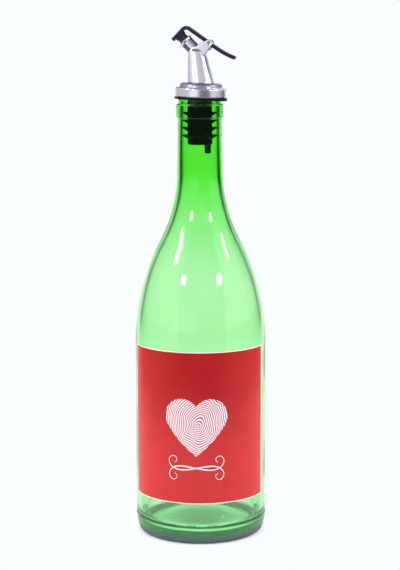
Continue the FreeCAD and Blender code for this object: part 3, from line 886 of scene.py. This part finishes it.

# %% [markdown]
# The cap is turned aluminium: the tool leaves fine rings, which spread a reflection up and
# down. Its step is rougher than its side, and painted a darker violet grey as a painted
# reflection of the dim room it faces. The spout is polished and plated, with the faint
# unevenness of a casting. A casting also has draft, a slight taper that lets it leave the
# mould, and a bump that falls with height by its tangent leans the reflections so. All are
# full metals, so nearly all their look is what they mirror.

# %% Metals
DRAFT = math.radians(7.0)
CAST_RIPPLE = 0.008 * MM
CAP_EDGE = SEAT_HEIGHT + CAP_HEIGHT
STEP_ROUGHNESS = 0.20
# Painted reflection: the step's violet grey stands in for the dim room that it mirrors.
STEP_SHADE_COLOR = (0.36, 0.34, 0.46)
STEP_BLUR = 0.5 * MM
SATIN_COLORS = (0.80, 0.80, 0.84), (0.88, 0.88, 0.91)
CHROME_COLORS = (0.80, 0.80, 0.85), (0.87, 0.87, 0.90)
STEEL_COLORS = (0.16, 0.16, 0.18), (0.36, 0.36, 0.39)
RING_DEPTH = 0.004 * MM


def satin_metal(graph):
    """Aluminium with turned rings: noise that varies only with height and radius."""
    place = graph.place()
    x, y, z = graph.split(place)
    out = (x * x + y * y) ** 0.5
    step = graph.between(z, CAP_EDGE, CAP_EDGE + STEP_BLUR)
    rings = graph.noise(graph.join(out, 0.0, z), 9000.0, 2.0, 0.7)
    stained = graph.mix(graph.noise(place, 180.0, 3.0), *SATIN_COLORS)
    # The step's colour is painted reflection; its extra roughness is real.
    return principled(
        graph, Base_Color=graph.mix(step, stained, STEP_SHADE_COLOR), Metallic=1.0,
        Roughness=0.10 + rings * 0.14 + step * STEP_ROUGHNESS,
        Normal=graph.bump(rings, RING_DEPTH, 0.5))


def chrome(graph):
    """Plated casting: polished and leant by its draft, with a soft ripple and scratches."""
    place = graph.place()
    draft = graph.split(place)[2] * -math.tan(DRAFT)
    relief = draft + graph.noise(place, 260.0, 1.0) * CAST_RIPPLE
    scratches = graph.noise(place, 3000.0, 4.0, 0.8)
    return principled(
        graph, Base_Color=graph.mix(scratches, *CHROME_COLORS), Metallic=1.0,
        Roughness=0.17 + scratches * 0.10, Normal=graph.bump(relief, 1.0))


def pin_steel(graph):
    """Cut end of a steel pin, with the marks of the saw."""
    x, y, z = graph.split(graph.place())
    marks = graph.noise(graph.join(x * 6.0, y, z), 4000.0, 2.0)
    color = graph.mix(marks, *STEEL_COLORS)
    return principled(graph, Base_Color=color, Metallic=1.0, Roughness=0.3 + marks * 0.2)


cap.data.materials.append(finish(satin_metal))
spout.data.materials.append(finish(chrome))

# %% [markdown]
# Four parts are black, and each is black in its own way: matt rubber, glossy plastic, a
# lever in thick glossy paint with a violet cast, and the seal's soft rubber.

# %% Black parts
RUBBER_COLORS = (0.004, 0.004, 0.005), (0.010, 0.009, 0.012)
PLASTIC_COLORS = (0.008, 0.009, 0.010), (0.016, 0.018, 0.019)
PAINT_COLORS = (0.010, 0.005, 0.034), (0.024, 0.012, 0.066)
SEAL_COLORS = (0.010, 0.008, 0.018), (0.030, 0.022, 0.042)
GRAIN_DEPTH = 0.02 * MM


def black_rubber(graph):
    """Moulded rubber with a fine matt grain."""
    grain = graph.noise(graph.place(), 1800.0, 4.0, 0.7)
    return principled(
        graph, Base_Color=graph.mix(grain, *RUBBER_COLORS), Roughness=0.42 + grain * 0.16,
        Specular_IOR_Level=0.12, Normal=graph.bump(grain, GRAIN_DEPTH, 0.4))


def black_plastic(graph):
    """Smooth plastic, a little cloudy in colour and gloss."""
    cloud = graph.noise(graph.place(), 400.0, 2.0)
    return principled(
        graph, Base_Color=graph.mix(cloud, *PLASTIC_COLORS), Roughness=0.18 + cloud * 0.1)


def lever_paint(graph):
    """Glossy black with a violet cast, and a slight orange peel."""
    peel = graph.noise(graph.place(), 900.0, 2.0)
    return principled(
        graph, Base_Color=graph.mix(peel, *PAINT_COLORS), Roughness=0.22, Specular_IOR_Level=0.3,
        Coat_Weight=0.2, Coat_Roughness=0.08, Normal=graph.bump(peel, GRAIN_DEPTH, 0.3))


def seal_rubber(graph):
    """Soft rubber, a touch lighter and glossier than the stopper's."""
    grain = graph.noise(graph.place(), 1500.0, 3.0)
    return principled(
        graph, Base_Color=graph.mix(grain, *SEAL_COLORS), Roughness=0.3 + grain * 0.2,
        Normal=graph.bump(grain, GRAIN_DEPTH, 0.4))


# %% [markdown]
# Five parts keep their measured mesh, because their shapes are plain and their edges are
# right already. Each gets its finish in every material slot it has.

# %% Finishes of the parts that keep their mesh
KEPT = {
    "stopper": black_rubber,
    "air_tube": black_plastic,
    "hinge_pin": pin_steel,
    "lever": lever_paint,
    "seal": seal_rubber,
}

for node, make in KEPT.items():
    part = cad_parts[node]
    material = finish(make)
    if not part.material_slots:
        part.data.materials.append(material)
    for held in part.material_slots:
        held.material = material

# %% [markdown]
# Glass and metal show mostly their surroundings, so the studio matters as much as the
# finishes. Behind the bottle hangs a white sheet, and the sides and the front of the room
# are dim, which is what draws the dark lines where a glass wall is seen edge on. Rays that
# rise see a narrower sheet than rays that fall, and low down lies a bright table. Seen in
# a mirror the room has belts: dark near the horizon, brighter where the ceiling light falls.
# Matt surfaces get a plain white light, weaker from the front. A ray bent by glass counts
# as a mirror ray as well, so the test for glass has the last word.

# %% The room
WHITE = (0.96, 0.99, 1.0)
DIM = (0.07, 0.07, 0.08)
NEAR_HORIZON = [
    (-180, WHITE), (-140, WHITE), (-126, DIM), (0, DIM), (126, DIM), (140, WHITE), (180, WHITE)]
CAP_BELT = [
    (-180, (0.40, 0.40, 0.46)), (-150, (0.55, 0.55, 0.62)), (-60, (0.62, 0.62, 0.70)),
    (-42, (1.05, 1.05, 1.10)), (-20, (1.05, 1.05, 1.10)), (-2, (0.24, 0.23, 0.28)),
    (22, (0.20, 0.19, 0.24)), (36, (0.30, 0.29, 0.35)), (52, (1.05, 1.05, 1.10)),
    (92, (1.05, 1.05, 1.10)), (108, (0.66, 0.67, 0.76)), (150, (0.60, 0.60, 0.68)),
    (180, (0.42, 0.42, 0.48))]
LIGHT_BELT = [
    (-180, (0.50, 0.50, 0.56)), (-140, (0.30, 0.30, 0.36)), (-122, (0.80, 0.80, 0.86)),
    (-66, (0.88, 0.88, 0.93)), (-48, (0.64, 0.65, 0.74)), (20, (0.62, 0.63, 0.72)),
    (34, (0.34, 0.33, 0.42)), (46, (0.34, 0.33, 0.42)), (56, (0.95, 0.95, 1.0)),
    (100, (0.95, 0.95, 1.0)), (114, (0.22, 0.18, 0.32)), (128, (0.22, 0.18, 0.32)),
    (142, WHITE), (180, WHITE)]
CEILING = (0.20, 0.19, 0.27)
HIGH_THROUGH = (0.46, 0.42, 0.62)
CAP_RISE, LIGHT_RISE, CEILING_RISE = (-1.0, 1.8), (8.0, 13.0), (40.0, 56.0)
SHEET = (1.045, 1.07, 1.06)
BACKDROP = [
    (-180, SHEET), (-154, SHEET), (-147, (0.70, 0.76, 0.74)), (-140, (0.42, 0.48, 0.46)),
    (-133, DIM), (-94, DIM), (-60, (0.30, 0.30, 0.34)), (60, (0.30, 0.30, 0.34)), (94, DIM),
    (133, DIM), (140, (0.42, 0.48, 0.46)), (147, (0.70, 0.76, 0.74)), (154, SHEET), (180, SHEET)]
NARROW_BACKDROP = [
    (-180, SHEET), (-162, SHEET), (-154, (0.70, 0.75, 0.72)), (-147, (0.42, 0.48, 0.44)),
    (-139, DIM), (139, DIM), (147, (0.42, 0.48, 0.44)), (154, (0.70, 0.75, 0.72)),
    (162, SHEET), (180, SHEET)]
TABLE = (1.00, 1.05, 1.04)
NARROW_RISE, HIGH_RISE, TABLE_RISE = (-8.5, -5.0), (14.0, 28.0), (-11.5, -5.0)
PLAIN_LIGHT, FRONT_LIGHT = 1.85, 0.10
FRONT_EDGE = (0.05, 0.20)


def all_round(graph, angle, stops):
    """Colour by the direction round the room; stops are in degrees, 0 at the camera."""
    places = [((degrees + 180.0) / 360.0, color) for degrees, color in stops]
    return graph.node("ShaderNodeValToRGB", {"stops": places}, {"Fac": angle})


def mirrored_room(graph, angle, rise):
    """What mirror rays see: belts one above the other, by the ray's rise in degrees."""
    low = all_round(graph, angle, NEAR_HORIZON)
    cap_belt, light_belt = all_round(graph, angle, CAP_BELT), all_round(graph, angle, LIGHT_BELT)
    color = graph.mix(graph.between(rise, *CAP_RISE), low, cap_belt)
    color = graph.mix(graph.between(rise, *LIGHT_RISE), color, light_belt)
    return graph.mix(graph.between(rise, *CEILING_RISE), color, CEILING)


def room_through_glass(graph, angle, rise):
    """What rays bent by glass see: the sheet and the dim sides, the table and the height."""
    wide, narrow = all_round(graph, angle, BACKDROP), all_round(graph, angle, NARROW_BACKDROP)
    color = graph.mix(graph.between(rise, *NARROW_RISE), wide, narrow)
    color = graph.mix(graph.between(rise, *HIGH_RISE), color, HIGH_THROUGH)
    return graph.mix(graph.between(rise, *TABLE_RISE), TABLE, color)


def light_path(graph):
    """1 for rays from the camera, mirror rays and rays through glass, as three values."""
    kinds = ("Is Camera Ray", "Is Glossy Ray", "Is Transmission Ray")
    return [graph.node("ShaderNodeLightPath", output=kind) for kind in kinds]


def room(graph):
    """The world: angle goes from 0 to 1 round the room, and the front is at a half."""
    x, y, z = graph.split(graph.place("Generated"))
    angle = graph.math("ARCTAN2", x, -y) / TURN + 0.5
    rise = graph.math("ARCSINE", z) * (360.0 / TURN)
    camera_ray, mirror_ray, glass_ray = light_path(graph)
    mirrored, through = mirrored_room(graph, angle, rise), room_through_glass(graph, angle, rise)
    color = graph.mix(camera_ray, graph.mix(glass_ray, mirrored, through), WHITE)
    seen = graph.node("ShaderNodeBackground", None, {"Color": color, "Strength": 1.0})
    side = graph.between(abs(angle - 0.5), *FRONT_EDGE)
    even = FRONT_LIGHT + side * (PLAIN_LIGHT - FRONT_LIGHT)
    plain = graph.node("ShaderNodeBackground", None, {"Color": (*WHITE, 1.0), "Strength": even})
    shown = graph.larger(graph.larger(camera_ray, mirror_ray), glass_ray)
    surface = graph.node("ShaderNodeMixShader", None, {0: shown, 1: plain, 2: seen})
    graph.out("ShaderNodeOutputWorld", Surface=surface)


world = bpy.data.worlds.new("room")
world.use_nodes = True
bpy.context.scene.world = world
room(Graph(world.node_tree))
print("room: belts of", len(NEAR_HORIZON), len(CAP_BELT), "and", len(LIGHT_BELT), "stops")

# %% [markdown]
# The floor is a pale disc, the near end of the white sheet. Under the bottle it is an
# ordinary matt surface, so it keeps the bottle's shadow, and further out it fades into white.
# Rays bent by glass see it in a shade of their own, darkest under the middle of the bottle:
# that is the gloom under a punt, which brings out the base.

# %% The floor
FLOOR_RADIUS = 420.0 * MM
FADE_START, FADE_END = 36.0 * MM, 44.0 * MM
FLOOR_DROP = 0.05 * MM
FLOOR_RINGS, FLOOR_COLUMNS = 40, 96
FLOOR_COLORS = (0.955, 0.965, 0.97), (0.965, 0.97, 0.975)
SHADE_REACH = 80.0 * MM
SHADE = [
    (0.0, (0.34, 0.39, 0.42)), (0.12, (0.36, 0.42, 0.45)), (0.26, (0.70, 0.84, 0.80)),
    (0.45, (0.85, 1.0, 0.95)), (0.55, WHITE)]


def make_floor():
    """A disc a hair under the bottle's foot, from its edge to its middle."""
    rings = np.linspace(0.0, FLOOR_RADIUS, FLOOR_RINGS)
    profile = np.stack([rings, np.full_like(rings, -FLOOR_DROP)], axis=-1)[::-1]
    return turned("floor", profile, FLOOR_COLUMNS)


def pale_floor(graph):
    """Matt near the bottle; further out, and for rays bent by glass, it glows."""
    place = graph.place()
    x, y, _ = graph.split(place)
    away = (x * x + y * y) ** 0.5
    color = graph.mix(graph.noise(place, 30.0), *FLOOR_COLORS)
    matt = graph.node("ShaderNodeBsdfDiffuse", None, {"Color": color})
    camera_ray, mirror_ray, glass_ray = light_path(graph)
    shade = graph.node("ShaderNodeValToRGB", {"stops": SHADE}, {"Fac": away / SHADE_REACH})
    glow = graph.mix(glass_ray, WHITE, shade)
    white = graph.node("ShaderNodeEmission", None, {"Color": glow, "Strength": 1.0})
    fade = graph.between(away, FADE_START, FADE_END) * graph.larger(camera_ray, mirror_ray)
    share = graph.larger(fade, glass_ray)
    return graph.node("ShaderNodeMixShader", None, {0: share, 1: matt, 2: white})


floor = make_floor()
floor.data.materials.append(finish(pale_floor))
print("floor:", triangles(floor), "triangles")

# %% [markdown]
# Soft boxes stand left and right of the camera, and two tall strips further round. Their
# mirror images are the bright spots and streaks that show the glass is curved. Each is
# placed by its direction from the bottle. Its power follows from how bright its face should
# look: for a radiance L and an area A it is 4 L A watts. The studio's lengths are in metres.

# %% Lamps
LAMP_DISTANCE = 1.3
LAMP_TARGET = Vector((0.0, 0.0, 0.16))
# azimuth and elevation in degrees, width and height in metres, radiance
LAMPS = {
    "strip_left": (-68.0, 38.0, 0.16, 0.40, 14.0),
    "strip_right": (81.0, 38.0, 0.12, 0.40, 14.0),
    "box_left": (-37.0, 26.0, 0.20, 0.13, 18.0),
    "box_right": (43.0, 26.0, 0.20, 0.13, 18.0),
}


def toward(azimuth, elevation):
    """Unit vector from the bottle: azimuth 0 is the camera's side, positive to the right."""
    a, e = math.radians(azimuth), math.radians(elevation)
    return Vector((math.sin(a) * math.cos(e), -math.cos(a) * math.cos(e), math.sin(e)))


for name, (azimuth, elevation, width, height, radiance) in LAMPS.items():
    light = bpy.data.lights.new(name, "AREA")
    light.shape = "RECTANGLE"
    light.size, light.size_y = width, height
    light.energy = 4.0 * radiance * width * height
    lamp = linked(name, light)
    lamp.location = LAMP_TARGET + LAMP_DISTANCE * toward(azimuth, elevation)
    lamp.rotation_euler = (LAMP_TARGET - lamp.location).to_track_quat("-Z", "Y").to_euler()
    lamp.visible_camera = False
print("lamps:", ", ".join(LAMPS))

# %% [markdown]
# The camera stands about a metre away, a little above the mouth, and looks down by nine
# degrees. A long lens keeps the sides nearly upright.

# %% Camera
CAMERA_PLACE = (0.00025, -0.975, 0.306)
CAMERA_DROP = math.radians(8.93)
CAMERA_ROLL = math.radians(0.17)
LENS = 101.6

camera_data = bpy.data.cameras.new("camera")
camera_data.lens = LENS
camera = linked("camera", camera_data)
camera.location = CAMERA_PLACE
camera.rotation_euler = (0.25 * TURN - CAMERA_DROP, CAMERA_ROLL, 0.0)
bpy.context.scene.camera = camera
bpy.context.scene.view_settings.view_transform = "Standard"
print("camera at", CAMERA_PLACE, "with a lens of", LENS, "mm")
